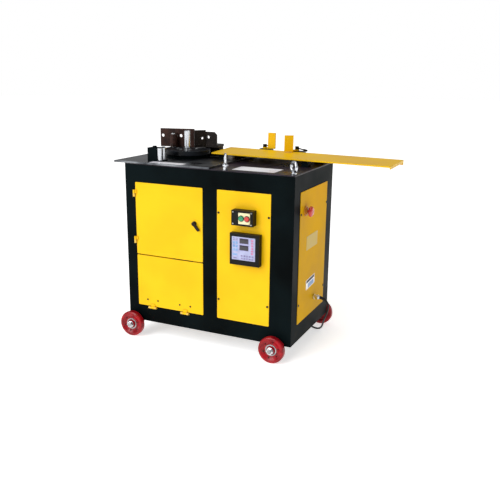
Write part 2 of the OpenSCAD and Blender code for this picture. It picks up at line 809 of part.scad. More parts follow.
// Lifting eye with its collar on z = 0, turned about Z, raised by lift on its jam nut
module eye_bolt(turn, lift) {
    translate([0, 0, lift]) {
        cylinder(r = 14, h = 6);
        translate([0, 0, 5]) cylinder(r = 9, h = 8);
        rotate(turn) translate([0, 0, 31]) rotate([90, 0, 0]) rotate_extrude()
            translate([20.5, 0]) circle(6, $fn = 32);
    }
    translate([0, 0, -deck_t - 8]) cylinder(r = 6, h = lift + deck_t + 8 + 1);
    if (lift > 0) cylinder(r = 11, h = 10, $fn = 6);
}

module eye_bolts() {
    color("#d8dadc") on_cabinet() {
        translate([eye_at[0][0], eye_at[0][1], cabinet_h]) eye_bolt(-60, 16);
        translate([eye_at[1][0], eye_at[1][1], cabinet_h]) eye_bolt(-38, 0);
    }
}

// ---------- length rail ----------

module rail_plate() {
    color(yellow) on_rail() {
        translate([0, 0, -rail_t]) linear_extrude(rail_t)
            polygon([[rail_slant, 0], [rail_len, 0], [rail_len, rail_w], [-rail_slant, rail_w]]);
        box([rail_len - 4, 0, -13], [rail_len, rail_w, -rail_t + e]);
        box([0, rail_w - 5, -rail_t - bar_h + 2], [rail_len, rail_w, -rail_t + e]);
    }
}

// Bars that carry the rail over the deck, and the guide bar behind it
module rail_supports() {
    color(black) {
        difference() {
            on_cabinet() for (x = [[362, 392], [790, 820]], y = [[262, 300], [440, 500]])
                box([x[0], y[0], cabinet_h + (x[0] < plate_end ? plate_t : 0)],
                    [x[1], y[1], cabinet_h + 50]);
            on_rail() box([-100, -100, -rail_t], [rail_len + 100, rail_w + 100, 60]);
        }
        on_rail() {
            box([8, rail_w + bar_gap, -6 - bar_h], [rail_len - 8, rail_w + bar_gap + bar_s, -6]);
            box([8, rail_w, -14], [rail_len - 8, rail_w + bar_gap + e, -6]);
        }
    }
}

// Sleeve that slides along the guide bar and carries a stop on a stud
module stop_slide(x) {
    g = 0.3;
    color(dark_steel) on_rail() translate([x, rail_w, 0]) {
        difference() {
            box([-22, g + 0.1, -6 - bar_h - 6], [40, bar_gap + bar_s + 7, stop_z]);
            box([-23, bar_gap - g, -6 - bar_h - g], [41, bar_gap + bar_s + g, -6 + g]);
            box([-23, -1, -14 - g], [41, bar_gap, -6 + g]);
        }
        translate([0, stud_y, stop_z - e]) cylinder(r = 5, h = 19);
    }
}

module stop_slide_left() {
    stop_slide(stop_x[0]);
}

module stop_slide_right() {
    stop_slide(stop_x[1]);
}

// Length stop: a foot around the stud and an upright blade at the end of a short arm
module length_stop(x, arm, turn, blade) {
    color(yellow) on_rail() translate([x, rail_w + stud_y, stop_z + 0.3]) difference() {
        union() {
            linear_extrude(7) {
                circle(11);
                rotate(arm[1]) translate([0, -5]) square([arm[0], 10]);
            }
            rotate(arm[1]) translate([arm[0], 0, 0]) rotate(turn - arm[1])
                box([-blade / 2, -4, 0.5], [blade / 2, 4, stop_h]);
        }
        translate([0, 0, -1]) cylinder(r = 5 + run, h = 10);
    }
}

module length_stop_left() {
    length_stop(stop_x[0], [36, 8], 0, 40);
}

module length_stop_right() {
    length_stop(stop_x[1], [66, 252], 34, 44);
}

// Clamp lever on top of a stop's foot
module clamp_lever(x, turn) {
    color(black) on_rail() translate([x, rail_w + stud_y, stop_z + 7.6]) {
        difference() {
            cylinder(r = 10, h = 14);
            translate([0, 0, -1]) cylinder(r = 5 + run, h = 13);
        }
        rotate(turn) {
            translate([6, 0, 6]) rotate([0, 94, 0]) cylinder(r = 3, h = 50);
            translate([52, 0, 2.6]) rotate([0, 94, 0]) cylinder(r = 5, h = 24);
        }
    }
}

module clamp_lever_left() {
    clamp_lever(stop_x[0], 82);
}

module clamp_lever_right() {
    clamp_lever(stop_x[1], -30);
}

// ---------- wheels ----------

// Dished wheel with its outer face at y = 0 and its axis along Y
module wheel() {
    r = wheel_dia / 2;
    w = wheel_w;
    color(red) rotate([-90, 0, 0]) rotate_extrude($fn = 96) polygon([
        [axle_r + run, -1], [18, -1], [20, 7], [34, 9], [46, 3], [50, 0],
        [r - 6, 0], [r - 1.5, 2.5], [r, 7], [r, w - 7], [r - 1.5, w - 2.5], [r - 6, w],
        [46, w], [40, w - 8], [22, w - 8], [18, w], [axle_r + run, w]]);
}

// Puts a wheel or its hardware on the axle at side 0 (front) or 1 (rear), column 0 (left) or 1 (right)
module at_axle(side, col) {
    on_cabinet() translate([wheel_x[side][col], side * cabinet_d, axle_z])
        mirror([0, side, 0]) translate([0, -wheel_gap - wheel_w, 0]) children();
}

module wheel_front_left() {
    at_axle(0, 0) wheel();
}

module wheel_front_right() {
    at_axle(0, 1) wheel();
}

module wheel_rear_left() {
    at_axle(1, 0) wheel();
}

module wheel_rear_right() {
    at_axle(1, 1) wheel();
}

module wheel_axles() {
    color(steel) for (side = [0, 1], col = [0, 1]) at_axle(side, col) {
        translate([0, -16, 0]) rod_y(axle_r, wheel_w + wheel_gap + 90);
        translate([0, wheel_w + 0.5, 0]) rod_y(13.5, wheel_gap + 11.5);
    }
}

module axle_nuts() {
    color("#c9cccf") for (side = [0, 1], col = [0, 1]) at_axle(side, col) difference() {
        union() {
            translate([0, -4, 0]) rod_y(16, 2.5);
            translate([0, -13, 0]) rotate([-90, 0, 0]) cylinder(r = 15, h = 9 + e, $fn = 6);
        }
        translate([0, -20, 0]) rod_y(axle_r + run, 30);
    }
}

// ---------- power cord ----------

module cable_gland() {
    color("#c9cccf") on_cabinet() translate([cabinet_w + panel_t, gland_at[0], gland_at[1]])
        rotate([0, 90, 0]) difference() {
            union() {
                translate([0, 0, -12]) cylinder(r = 10, h = 14);
                cylinder(r = 13.5, h = 8, $fn = 6);
                translate([0, 0, 8 - e]) cylinder(r = 10.5, h = 6);
                translate([0, 0, 14 - e]) cylinder(r = 12.5, h = 12, $fn = 6);
                translate([0, 0, 26 - e]) cylinder(r1 = 10, r2 = 8, h = 8);
            }
            translate([0, 0, -20]) cylinder(r = cord_dia / 2, h = 60);
        }
}

function unit(v) = v / norm(v);

// Round tube swept along a list of points
module tube(path, r, sides = 10) {
    n = len(path);
    dir = [for (i = [0 : n - 1]) unit(path[min(i + 1, n - 1)] - path[max(i - 1, 0)])];
    side = [for (d = dir) unit(cross(d, abs(d[2]) > 0.9 ? [0, 1, 0] : [0, 0, 1]))];
    pts = [for (i = [0 : n - 1], k = [0 : sides - 1]) path[i]
        + r * (cos(k * 360 / sides) * side[i] + sin(k * 360 / sides) * cross(side[i], dir[i]))];
    polyhedron(pts, concat(
        [[for (k = [0 : sides - 1]) k]],
        [for (i = [0 : n - 2], k = [0 : sides - 1])
            let(a = i * sides + k, b = i * sides + (k + 1) % sides) [a, a + sides, b + sides, b]],
        [[for (k = [sides - 1 : -1 : 0]) (n - 1) * sides + k]]));
}

module power_cord() {
    color("#151515") on_cabinet() {
        tube(cord_route, cord_dia / 2, 12);
        tube([for (t = [0 : 0.25 : 1]) [coil_at[0] - tail_len * t, tail_y,
            coil_at[2] + cord_dia + (plug_at[2] - coil_at[2] - cord_dia) * t * t * (3 - 2 * t)]],
            cord_dia / 2);
    }
}

module cord_coil() {
    h = coil_layers * cord_dia;
    w = coil_turns * cord_dia;
    color("#151515") on_cabinet() translate([coil_at[0], coil_at[1], coil_at[2] - cord_dia / 2])
        rotate_extrude() translate([coil_r - w / 2, 0]) square([w, h]);
}

module power_plug() {
    color("#1d4f9c") on_cabinet() translate(plug_at) rotate([0, -90, 0]) {
        cylinder(r1 = 12, r2 = 24, h = 30);
        translate([0, 0, 30 - e]) cylinder(r = 27, h = 50);
        translate([0, 0, 80 - e]) difference() {
            cylinder(r = 25, h = 30);
            translate([0, 0, 1]) cylinder(r = 22, h = 30);
        }
        for (a = [0 : 90 : 270]) rotate(a) translate([13, 0, 80]) cylinder(r = 3, h = 26);
    }
}

frame();
deck_plate();
work_plate();
bending_disc();
spindle();
spindle_housing();
spindle_bearings();
drive_gear();
mandrel_pin();
bending_arm();
bending_roller();
roller_pin();
disc_screws();
gearbox();
pinion();
motor();
motor_cowl();
drive_shelf();
door();
door_latch();
lower_flap();
hinge_leaves();
control_panel();
rear_panels();
side_panel_left();
side_panel_right();
panel_screws();
switch_box();
switch_plate();
start_button();
stop_button();
control_unit();
keypad();
estop_collar();
estop_button();
blank_plates();
cable_gland();
power_cord();
cord_coil();
power_plug();
wheel_front_left();
wheel_front_right();
wheel_rear_left();
wheel_rear_right();
wheel_axles();
axle_nuts();
rail_plate();
rail_supports();
stop_slide_left();
stop_slide_right();
length_stop_left();
length_stop_right();
clamp_lever_left();
clamp_lever_right();
resist_bracket();
guide_block();
guide_roller_front();
guide_roller_rear();
eye_bolts();
electrical_gear();
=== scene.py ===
# %% [markdown]
# # A wheeled table bender for reinforcing bar
# The real machine is a welded steel cabinet on four wheels. A motor inside it turns a heavy disc
# on the table, and the disc's roller bends a bar round a pin. This lesson dresses the measured
# model of that machine: every CAD part keeps its place and shape and gets a real finish, and
# small pieces that CAD leaves out are built here. Start by loading the measured model.
# %% Load the measured machine
import json
import math
import random

import bmesh
import bpy
from mathutils import Matrix, Vector


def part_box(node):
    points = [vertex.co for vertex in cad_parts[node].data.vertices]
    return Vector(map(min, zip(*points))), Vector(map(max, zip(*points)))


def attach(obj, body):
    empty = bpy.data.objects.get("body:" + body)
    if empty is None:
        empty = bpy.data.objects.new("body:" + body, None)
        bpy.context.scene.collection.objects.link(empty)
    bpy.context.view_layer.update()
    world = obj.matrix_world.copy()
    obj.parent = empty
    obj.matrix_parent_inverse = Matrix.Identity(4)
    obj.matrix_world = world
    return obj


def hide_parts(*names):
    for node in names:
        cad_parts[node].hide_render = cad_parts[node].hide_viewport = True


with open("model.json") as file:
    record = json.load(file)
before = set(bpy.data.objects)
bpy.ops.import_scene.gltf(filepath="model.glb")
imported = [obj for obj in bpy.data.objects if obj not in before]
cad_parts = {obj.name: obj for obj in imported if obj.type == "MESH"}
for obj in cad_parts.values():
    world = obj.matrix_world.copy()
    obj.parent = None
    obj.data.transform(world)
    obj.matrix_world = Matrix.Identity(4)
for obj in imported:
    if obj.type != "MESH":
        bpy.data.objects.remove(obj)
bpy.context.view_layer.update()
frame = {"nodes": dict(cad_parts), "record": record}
parts = frame["nodes"]

# %% [markdown]
# The drawings count in millimetres from the cabinet's front left bottom corner. Blender counts in
# metres from the floor under the machine. The deck plate's corner says how far apart the two
# zeros are, so one function can take any point of the drawings to its place here.
# %% From drawing millimetres to metres
DECK_TOP = 778
deck_low, deck_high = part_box("deck_plate")
DRAWING_ZERO = Vector((deck_low.x, deck_low.y, deck_high.z - DECK_TOP / 1000))


def at(x, y, z):
    """A point of the drawings as a point of this scene."""
    return DRAWING_ZERO + Vector((x, y, z)) / 1000


print("drawing zero:", tuple(round(v, 4) for v in DRAWING_ZERO))

# %% [markdown]
# ## Camera
# The machine is seen from its front right corner, from a little above the table. A 48 mm lens
# three metres away keeps its upright edges nearly parallel. The camera turns about the upright
# axis first, then tips down, then rolls by a hair, so three simple rotations place it.
# %% The camera
CAMERA_TURN, CAMERA_TIP, CAMERA_ROLL = 24.498, 15.066, 0.6765
camera = bpy.data.objects.new("studio_camera", bpy.data.cameras.new("studio_camera"))
camera.data.sensor_width = 36.0
camera.data.lens = 48.196
camera.matrix_world = (
    Matrix.Translation((1.2773, -2.8971, 1.2831))
    @ Matrix.Rotation(math.radians(CAMERA_TURN), 4, "Z")
    @ Matrix.Rotation(math.radians(90 - CAMERA_TIP), 4, "X")
    @ Matrix.Rotation(math.radians(CAMERA_ROLL), 4, "Z")
)
bpy.context.scene.collection.objects.link(camera)
bpy.context.scene.camera = camera
print("camera", [round(v, 3) for v in camera.location], "lens", camera.data.lens)

# %% [markdown]
# ## Power cord
# The supply lead is a 9 mm rubber cord. It leaves a metal gland low on the right side, hangs down
# beside the rear post, slips under the cabinet and is wound up behind it. Its route is the list of
# points that the CAD part follows, and the coil is a flat spiral: outwards to inwards on the
# floor, then inwards to outwards on top, so that the free end comes off the outside.
# %% The cord's route
CORD = 9.0
CORD_ROUTE = [
    (862, 283, 157), (880.9, 283, 157), (899.7, 283.3, 156), (917.4, 285.2, 149.9),
    (930.4, 289.3, 137.1), (936, 294.6, 120.1), (934.4, 300.7, 102.3), (930, 307.6, 85.3),
    (924, 315.7, 69.3), (917, 324.5, 54.1), (909.8, 334.2, 39.6), (902.8, 344.6, 25.4),
    (896.4, 355.6, 11.5), (890.5, 367.1, -2.3), (884.5, 379, -15.7), (877.9, 391.2, -28.8),
    (870.3, 403.7, -41.2), (861.1, 416.1, -52.2), (849.5, 428, -61.4), (835.8, 439.2, -67.9),
    (820.5, 449.7, -71.2), (804.3, 459.4, -72), (787.8, 468.6, -72), (771.4, 477.9, -72),
    (755.4, 488, -72), (740.9, 500.1, -72), (729, 514.7, -72), (720.4, 531.5, -72),
    (714.9, 549.6, -72), (712.2, 568.2, -72), (711.2, 587.1, -72), (711, 606, -72),
]
COIL = Vector((643.5, 606, -72))
COIL_RADII = (67.5, 58.5, 49.5, 40.5)
TAIL, PLUG_Z = 70.0, -49.0
POINTS_PER_TURN = 16


def coil_points():
    """The wound turns: one spiral inwards on the floor and one outwards on top of it."""
    floor_layer = [(radius, 0.0) for radius in COIL_RADII]
    top_layer = [(radius, CORD) for radius in reversed(COIL_RADII)]
    turns = floor_layer + top_layer
    points = []
    for turn, (radius, height) in enumerate(turns):
        next_radius, next_height = turns[min(turn + 1, len(turns) - 1)]
        for step in range(POINTS_PER_TURN):
            along = step / POINTS_PER_TURN
            change = max(0.0, (along - 0.6) / 0.4)
            change = change * change * (3 - 2 * change)
            r = radius + (next_radius - radius) * change
            z = height + (next_height - height) * change
            angle = 2 * math.pi * along
            points.append(COIL + Vector((r * math.cos(angle), r * math.sin(angle), z)))
    return points


wound = coil_points()[1:]
quarter = [
    COIL + Vector((COIL_RADII[0] * math.cos(a), COIL_RADII[0] * math.sin(a), CORD))
    for a in (math.radians(22.5 * k) for k in range(0, 5))
]
tail_y = COIL.y + COIL_RADII[0]
tail = []
for share in (0.25, 0.5, 0.75, 1.0):
    lift = share * share * (3 - 2 * share)
    top = COIL.z + CORD
    tail.append(Vector((COIL.x - TAIL * share, tail_y, top + (PLUG_Z - top) * lift)))
cord_mm = [Vector(p) for p in CORD_ROUTE] + wound + quarter + tail
print("cord points:", len(cord_mm), "of which wound:", len(wound))

# %% [markdown]
# A Bezier curve goes exactly through its points, and setting each handle to a sixth of the step
# between its neighbours gives the same smooth line as the CAD part. Its round bevel is the sheath.
# %% The cord as a curve
cord_curve = bpy.data.curves.new("power_lead", "CURVE")
cord_curve.dimensions = "3D"
cord_curve.bevel_depth = CORD / 2000
cord_curve.bevel_resolution = 4
cord_curve.resolution_u = 5
cord_curve.use_fill_caps = True
spline = cord_curve.splines.new("BEZIER")
spline.bezier_points.add(len(cord_mm) - 1)
for k, point in enumerate(cord_mm):
    before, after = cord_mm[max(k - 1, 0)], cord_mm[min(k + 1, len(cord_mm) - 1)]
    reach = (after - before) / 6
    bezier = spline.bezier_points[k]
    bezier.handle_left_type = bezier.handle_right_type = "FREE"
    bezier.co = at(*point)
    bezier.handle_left = at(*(point - reach))
    bezier.handle_right = at(*(point + reach))
cord_piece = bpy.data.objects.new("power_lead", cord_curve)
bpy.context.scene.collection.objects.link(cord_piece)

# %% [markdown]
# ## Colours and nodes
# Paint charts give colours as sRGB hex codes, and Blender mixes light in linear numbers, so one
# function converts them. Another adds a node with its settings and links in one line, which keeps
# each finish short enough to read in one go.
# %% Helpers for materials


def linear(code):
    """An sRGB hex code as linear red, green, blue and an alpha of one."""
    values = [int(code[k : k + 2], 16) / 255 for k in (1, 3, 5)]
    return [v / 12.92 if v <= 0.04045 else ((v + 0.055) / 1.055) ** 2.4 for v in values] + [1.0]


def add(material, kind, inputs=None, **settings):
    """Add a node, set its properties, and give each named input a value or a link."""
    made = material.node_tree.nodes.new("ShaderNode" + kind)
    for key, value in settings.items():
        setattr(made, key, value)
    for key, value in (inputs or {}).items():
        if isinstance(value, bpy.types.NodeSocket):
            material.node_tree.links.new(value, made.inputs[key])
        else:
            made.inputs[key].default_value = value
    return made


def wire(material, source, target):
    """Link an output socket to an input socket."""
    material.node_tree.links.new(source, target)


def begin(name, metallic=0.0, specular=0.5, coat=0.0, coat_roughness=0.08):
    """A new material and its shader, with the numbers that are the same all over."""
    material = bpy.data.materials.new(name)
    material.use_nodes = True
    shader = material.node_tree.nodes["Principled BSDF"]
    shader.inputs["Metallic"].default_value = metallic
    shader.inputs["Specular IOR Level"].default_value = specular
    shader.inputs["Coat Weight"].default_value = coat
    shader.inputs["Coat Roughness"].default_value = coat_roughness
    return material, shader


# %% [markdown]
# Every finish on this machine shares four traits: clouds of slightly different tone, uneven
# gloss, a fine relief, and edges that are rounded by a file or a brush and then rubbed bare. One
# function gives a material all four from real sizes in millimetres. The Bevel node rounds edges in
# the shading alone, so the measured shapes stay as they are.
# %% The traits that all finishes share


def weather(
    material, shader, tones, cloud, gloss, grain, depth, edge=1.2, bare=None, stretch=(1, 1, 1)
):
    """Tones, gloss, relief and soft edges from sizes in millimetres."""
    spot = add(material, "TexCoord").outputs["Object"]
    clouds = add(material, "TexNoise", {"Vector": spot, "Scale": 1000 / cloud, "Detail": 4.0})
    tone = add(material, "ValToRGB", {"Fac": clouds.outputs["Fac"]})
    for stop, place, code in zip(tone.color_ramp.elements, (0.36, 0.64), tones):
        stop.position = place
        stop.color = linear(code)
    colour = tone.outputs["Color"]
    lined = add(material, "Mapping", {"Vector": spot, "Scale": stretch}).outputs["Vector"]
    fine = add(material, "TexNoise", {"Vector": lined, "Scale": 1000 / grain, "Detail": 3.0})
    soft = add(material, "Bevel", {"Radius": edge / 1000}, samples=4).outputs["Normal"]
    if bare:
        face = add(material, "NewGeometry").outputs["Normal"]
        flat = add(material, "VectorMath", {0: soft, 1: face}, operation="DOT_PRODUCT")
        rim = add(
            material,
            "MapRange",
            {"Value": flat.outputs["Value"], "From Min": 0.985, "From Max": 0.80},
        )
        chips = add(
            material,
            "MapRange",
            {"Value": fine.outputs["Fac"], "From Min": 0.46, "From Max": 0.60},
        )
        rub = add(
            material, "Math", {0: rim.outputs[0], 1: chips.outputs[0]}, operation="MULTIPLY"
        )
        mix = add(
            material,
            "Mix",
            {0: rub.outputs[0], 6: colour, 7: linear(bare)},
            data_type="RGBA",
        )
        colour = mix.outputs[2]
    shine = add(
        material,
        "MapRange",
        {
            "Value": clouds.outputs["Fac"],
            "From Min": 0.35,
            "From Max": 0.65,
            "To Min": gloss[0],
            "To Max": gloss[1],
        },
    )
    relief = add(
        material,
        "Bump",
        {"Height": fine.outputs["Fac"], "Distance": depth / 1000, "Normal": soft},
    )
    wire(material, colour, shader.inputs["Base Color"])
    wire(material, shine.outputs[0], shader.inputs["Roughness"])
    wire(material, relief.outputs["Normal"], shader.inputs["Normal"])


# %% [markdown]
# ## Painted steel
# The panels, the door and the rail wear a thick gloss enamel in signal yellow, sprayed and baked.
# Sprayed enamel dries with a faint orange peel, ripples about 8 mm apart and far too shallow to
# feel, so the eye reads it only as a softly broken reflection. The ripples are drawn at 14 mm here,
# as coarse as they need to show. A thin clear coat gives the front its shine. The side panels wear
# the same enamel, but here they get a darker copy of the yellow with less shine, which is painted
# shade for the sides that face away from the light. The black deck is wiped with an oily rag, which
# leaves long streaks.
# %% Yellow and black enamel
yellow_enamel, shader = begin("yellow_gloss_enamel", specular=0.14, coat=0.04, coat_roughness=0.12)
weather(yellow_enamel, shader, ("#EDB904", "#F4C40A"), 260, (0.30, 0.42), 14, 0.10, 1.4, "#8A7A52")

# The side panels' yellow is the front's enamel made darker and less shiny: the darker colour is
# painted shade for the sides that face away from the light.
shaded_side_enamel, shader = begin("yellow_enamel_painted_side_shade", specular=0.04)
weather(shaded_side_enamel, shader, ("#D6A206", "#E4B010"), 220, (0.45, 0.60), 14, 0.10, 1.4, "#8A7A52")

hinge_enamel, shader = begin("worn_yellow_enamel", specular=0.4)
weather(hinge_enamel, shader, ("#DDB030", "#EEC75C"), 20, (0.35, 0.55), 5, 0.12, 1.0, "#8F8A78")

black_enamel, shader = begin("black_enamel", specular=0.02)
weather(black_enamel, shader, ("#050809", "#0B1416"), 300, (0.30, 0.48), 16, 0.12, 1.6, "#3A3B3C")

deck_enamel, shader = begin("wiped_black_deck_enamel", specular=0.12, coat=0.10, coat_roughness=0.2)
weather(
    deck_enamel, shader, ("#151016", "#2C2430"), 90, (0.25, 0.50), 4, 0.05, 1.6, "#5A5458",
    stretch=(0.03, 1, 1),
)

machine_enamel, shader = begin("grey_blue_machine_enamel", specular=0.4)
weather(machine_enamel, shader, ("#34506B", "#45647F"), 70, (0.38, 0.60), 4, 0.25, 1.5, "#6F7072")

label_enamel, shader = begin("white_stoved_enamel_plate", specular=0.4)
weather(label_enamel, shader, ("#F2F0F8", "#FFFFFF"), 90, (0.25, 0.45), 6, 0.02, 0.4)

cream_card, shader = begin("pale_cream_card", specular=0.3)
weather(cream_card, shader, ("#C9AC4C", "#D2B658"), 60, (0.35, 0.55), 6, 0.02, 0.4)
print("painted finishes:", [m.name for m in (yellow_enamel, black_enamel, machine_enamel)])

# %% [markdown]
# ## Ground, turned and plated steel
# The work plate is ground on one side, so it shines like a dull mirror with fine lines along the
# grinding direction. The lines are 0.2 mm apart on a real plate; they are drawn at 5 mm and 50
# times longer than wide, because finer ones vanish between two samples. Stains from oil and rust
# make dull islands a few centimetres across.
# %% Bare steels
ground_steel, shader = begin("ground_steel_plate", metallic=1.0)
weather(
    ground_steel, shader, ("#3A3D41", "#86898D"), 110, (0.24, 0.42), 5, 0.08, 1.0,
    stretch=(0.02, 1, 1),
)

turned_steel, shader = begin("turned_steel", metallic=1.0)
weather(turned_steel, shader, ("#8C8F92", "#B5B8BA"), 18, (0.22, 0.40), 2, 0.06, 0.6, "#D8DADC")

bright_zinc, shader = begin("bright_zinc_plating", metallic=1.0)
weather(bright_zinc, shader, ("#C4C8CE", "#E2E5E9"), 12, (0.10, 0.24), 5, 0.05, 0.6)

blued_steel, shader = begin("oiled_blued_steel", metallic=0.35, specular=0.25, coat=0.05)
weather(blued_steel, shader, ("#0C0E11", "#1A1E25"), 45, (0.26, 0.44), 3, 0.06, 1.6, "#6A7078")

brown_steel, shader = begin("brown_tempered_steel", metallic=0.25, specular=0.25)
weather(brown_steel, shader, ("#24130F", "#3E241C"), 22, (0.30, 0.52), 4, 0.12, 1.6, "#8B7468")

dark_oxide, shader = begin("dark_oxide_steel", metallic=0.2, specular=0.2)
weather(dark_oxide, shader, ("#120D0C", "#231B18"), 26, (0.30, 0.52), 4, 0.10, 1.4, "#776A5E")

cast_iron, shader = begin("sand_cast_iron", metallic=0.3, specular=0.4)
weather(cast_iron, shader, ("#3B3E41", "#55585B"), 30, (0.55, 0.75), 3, 0.5, 2.0, "#85888A")
print("bare steels ready")

# %% [markdown]
# ## Plastics and rubber
# The switch box and the controller's case are injection-moulded ABS with a fine spark-eroded
# grain, the push buttons are glossy, and the wheels are cast polyurethane: hard, deep red and
# smooth, with a little light going into the body before it comes back.
# %% Plastics and rubber
black_abs, shader = begin("grained_black_ABS", specular=0.15)
weather(black_abs, shader, ("#0A0908", "#151311"), 40, (0.35, 0.50), 2.5, 0.08, 1.5, "#3A3A3C")

cream_abs, shader = begin("cream_ABS_button_plate", specular=0.45)
weather(cream_abs, shader, ("#DDD3A0", "#F0E8BC"), 25, (0.30, 0.42), 3, 0.03, 0.8)

green_cap, shader = begin("green_moulded_button", specular=0.5, coat=0.4)
weather(green_cap, shader, ("#0B7A4E", "#14A06A"), 12, (0.22, 0.32), 3, 0.02, 0.8)

red_cap, shader = begin("red_moulded_button", specular=0.5, coat=0.4)
weather(red_cap, shader, ("#B61E18", "#D63426"), 14, (0.22, 0.34), 3, 0.02, 0.9)

amber_ring, shader = begin("amber_moulded_collar", specular=0.45)
weather(amber_ring, shader, ("#A8641E", "#C98A2C"), 14, (0.30, 0.45), 3, 0.03, 0.8)

red_wheel, shader = begin("cast_red_polyurethane", specular=0.2, coat=0.15, coat_roughness=0.12)
shader.inputs["Subsurface Weight"].default_value = 0.03
shader.inputs["Subsurface Radius"].default_value = (0.006, 0.001, 0.001)
weather(red_wheel, shader, ("#7E0812", "#A8101E"), 30, (0.22, 0.38), 6, 0.08, 1.5, "#C25C62")

cord_rubber, shader = begin("black_rubber_sheath", specular=0.3)
weather(cord_rubber, shader, ("#0C0C0D", "#1A1A1B"), 18, (0.45, 0.62), 1.6, 0.08, 0.4)

blue_plug, shader = begin("blue_moulded_plug", specular=0.45)
weather(blue_plug, shader, ("#133F8C", "#1E55AB"), 26, (0.34, 0.48), 2.5, 0.06, 1.2, "#5C7FBF")

lilac_membrane, shader = begin("lilac_polyester_membrane", specular=0.35)
weather(lilac_membrane, shader, ("#9EA2C6", "#B4B8DA"), 30, (0.35, 0.50), 1.5, 0.02, 0.3)

display_glass, shader = begin("smoked_display_window", specular=0.5, coat=0.5, coat_roughness=0.03)
weather(display_glass, shader, ("#15101A", "#241C2A"), 15, (0.10, 0.20), 2, 0.01, 0.4)

blue_ink, shader = begin("blue_printed_keys", specular=0.35)
weather(blue_ink, shader, ("#6C8FC4", "#8FB0DC"), 10, (0.35, 0.50), 1.5, 0.02, 0.3)

rose_ink, shader = begin("rose_printed_keys", specular=0.35)
weather(rose_ink, shader, ("#B9648F", "#D48CB2"), 8, (0.35, 0.50), 1.5, 0.02, 0.3)

violet_ink, shader = begin("violet_printed_keys", specular=0.35)
weather(violet_ink, shader, ("#77709A", "#9890BC"), 8, (0.35, 0.50), 1.5, 0.02, 0.3)

grey_parts, shader = begin("grey_moulded_switchgear", specular=0.4)
weather(grey_parts, shader, ("#7B7F84", "#9A9EA3"), 40, (0.40, 0.60), 3, 0.1, 1.2, "#C4C6C8")
print("materials made:", len(bpy.data.materials))

# %% [markdown]
# ## Dressing the CAD parts
# The record names a material slot for every CAD part. One table sends each slot to its finish, and
# a few parts then get a finish of their own.
# %% Finish each CAD part
SLOT_FINISH = {
    "black_paint": black_enamel, "steel_plate": ground_steel, "blackened_steel": blued_steel,
    "machined_steel": turned_steel, "polished_steel": bright_zinc, "brown_steel": brown_steel,
    "dark_steel": dark_oxide, "cast_iron": cast_iron, "machine_blue": machine_enamel,
    "yellow_paint": yellow_enamel, "black_plastic": black_abs, "ivory_plastic": cream_abs,
    "green_plastic": green_cap, "red_plastic": red_cap, "membrane": lilac_membrane,
    "amber_plastic": amber_ring, "white_plate": label_enamel, "cord_rubber": cord_rubber,
    "plug_blue": blue_plug, "red_wheel": red_wheel, "grey_components": grey_parts,
}
# The side panels take the darker copy of the yellow enamel, which paints shade on them.
OWN_FINISH = {
    "hinge_leaves": hinge_enamel, "deck_plate": deck_enamel, "spindle_housing": black_enamel,
    "side_panel_right": shaded_side_enamel, "side_panel_left": shaded_side_enamel,
}
for subpart in frame["record"]["subparts"]:
    name = subpart["node"]
    finish = OWN_FINISH.get(name, SLOT_FINISH[subpart["material_slot"]])
    for held in parts[name].material_slots:
        held.material = finish

# %% [markdown]
# ## Building small pieces
# Pieces that CAD leaves out are built as meshes. Each helper works in drawing millimetres: one
# turns a finished mesh into a piece that rides on a body, one makes a box with softened corners,
# one spins an outline round an axis and one sweeps a round bead along a line.
# %% Helpers for meshes


def new_piece(name, mesh, finish, body="cabinet", smooth=35):
    """A mesh with a finish, as a piece that rides on one of the machine's bodies."""
    bmesh.ops.recalc_face_normals(mesh, faces=mesh.faces)
    data = bpy.data.meshes.new(name)
    mesh.to_mesh(data)
    mesh.free()
    data.materials.append(finish)
    data.shade_smooth()
    data.set_sharp_from_angle(angle=math.radians(smooth))
    made = bpy.data.objects.new(name, data)
    bpy.context.scene.collection.objects.link(made)
    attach(made, body)
    return made


def soft_box(mesh, low, high, radius=0.8):
    """A box between two corners, with its edges rounded off."""
    centre = (Vector(low) + Vector(high)) / 2
    size = Vector(high) - Vector(low)
    made = bmesh.ops.create_cube(mesh, size=1.0)["verts"]
    for vert in made:
        vert.co = at(*(centre + Vector(a * b for a, b in zip(vert.co, size))))
    edges = {edge for vert in made for edge in vert.link_edges}
    limit = min(radius, min(size) * 0.45)
    bmesh.ops.bevel(
        mesh, geom=list(edges), offset=limit / 1000, segments=2, profile=0.5, affect="EDGES"
    )


def spun(mesh, outline, centre, axis, steps=40):
    """An outline of (radius, height) pairs spun round an axis through centre."""
    axis = Vector(axis).normalized()
    side = axis.orthogonal().normalized()
    other = axis.cross(side)
    rings = []
    for radius, height in outline:
        middle = Vector(centre) + axis * height
        if radius < 1e-6:
            rings.append([mesh.verts.new(at(*middle))])
            continue
        ring = []
        for k in range(steps):
            a = 2 * math.pi * k / steps
            spoke = side * radius * math.cos(a) + other * radius * math.sin(a)
            ring.append(mesh.verts.new(at(*(middle + spoke))))
        rings.append(ring)
    for first, second in zip(rings, rings[1:]):
        for k in range(steps):
            n = (k + 1) % steps
            lower = [first[k % len(first)], first[n % len(first)]]
            upper = [second[n % len(second)], second[k % len(second)]]
            corners = list(dict.fromkeys(lower + upper))
            if len(corners) > 2:
                mesh.faces.new(corners)


def skin(mesh, rings):
    """Faces between rings of equal length, and a cap on both ends."""
    count = len(rings[0])
    for first, second in zip(rings, rings[1:]):
        for j in range(count):
            n = (j + 1) % count
            mesh.faces.new([first[j], first[n], second[n], second[j]])
    mesh.faces.new(list(reversed(rings[0])))
    mesh.faces.new(rings[-1])


